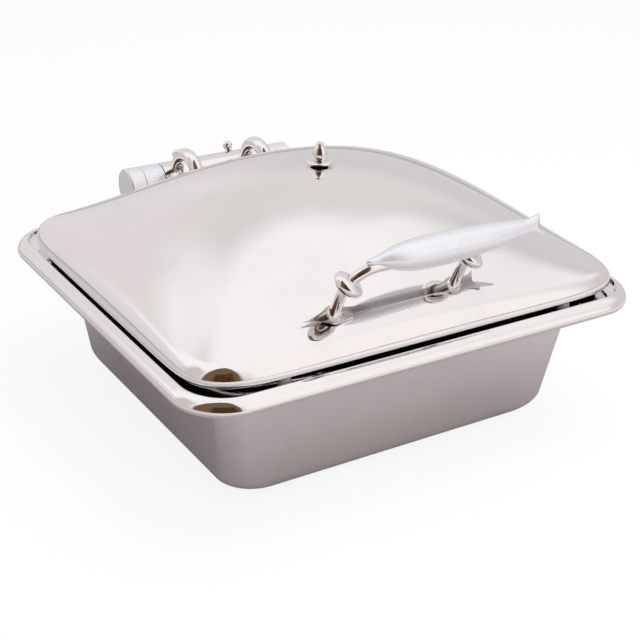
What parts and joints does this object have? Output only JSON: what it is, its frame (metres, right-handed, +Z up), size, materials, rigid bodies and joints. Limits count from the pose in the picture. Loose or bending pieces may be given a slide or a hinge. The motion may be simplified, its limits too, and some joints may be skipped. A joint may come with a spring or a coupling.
{
  "type": "chafer",
  "caption": "Rectangular polished steel chafer: water pan with rolled rim, food pan, rear-hinged dome lid with spindle handle and small finial",
  "frame": {"origin": "centre of the pan's footprint, on the surface that the feet stand on", "axes": "+X to the user's right along the front edge, +Y from the front to the hinge, +Z up"},
  "size_m": [0.43, 0.413, 0.2382],
  "materials": {
    "polished_steel": "mirror-polished stainless steel",
    "satin_metal": "satin, slightly blue-white",
    "steel_hardware": "plain stainless fasteners and bracket",
    "food_steel": "satin stainless gastronorm pan",
    "induction_steel": "magnetic steel disc, circular lay",
    "spring_steel": "oiled spring wire",
    "black_rubber": "matt moulded rubber",
    "grey_silicone": "translucent grey silicone",
    "bearing_plastic": "natural acetal"
  },
  "bodies": {
    "base": {"water_pan": "polished_steel", "induction_plate": "induction_steel", "feet": "black_rubber", "foot_screws": "steel_hardware", "lid_bumpers": "grey_silicone", "hinge_bracket": "steel_hardware", "bracket_studs": "steel_hardware", "bracket_nuts": "steel_hardware", "hinge_axle": "steel_hardware", "axle_nuts": "steel_hardware", "hinge_housing_left": "satin_metal", "hinge_housing_right": "satin_metal", "hinge_end_cap_left": "satin_metal", "hinge_end_cap_right": "satin_metal", "spring_collar": "steel_hardware", "damper_body": "bearing_plastic", "lid_spring": "spring_steel"},
    "lid": {"lid_dome": "polished_steel", "finial_collar": "polished_steel", "finial_disc": "polished_steel", "finial_button": "polished_steel", "handle_plate": "polished_steel", "handle_leg_left": "polished_steel", "handle_leg_right": "polished_steel", "handle_bead_left": "polished_steel", "handle_bead_right": "polished_steel", "hinge_tube": "polished_steel", "hinge_arm_left": "polished_steel", "hinge_arm_right": "polished_steel", "hinge_ball_screws": "polished_steel", "handle_grip": "satin_metal", "finial_washer": "steel_hardware", "finial_nut": "steel_hardware", "handle_screws": "steel_hardware", "handle_washers": "steel_hardware", "arm_screws": "steel_hardware", "arm_washers": "steel_hardware", "hinge_bush_left": "bearing_plastic", "hinge_bush_right": "bearing_plastic", "damper_rotor": "bearing_plastic"},
    "food_pan": {"food_pan": "food_steel"}
  },
  "joints": [
    {"name": "lid_hinge", "type": "hinge", "parent": "base", "child": "lid", "pos_m": [0, 0.199, 0.1445], "axis": [-1, 0, 0], "range_deg": [0, 90]},
    {"name": "food_pan_lift", "type": "slide", "parent": "base", "child": "food_pan", "axis": [0, 0, 1], "range_m": [0, 0.005]}
  ]
}
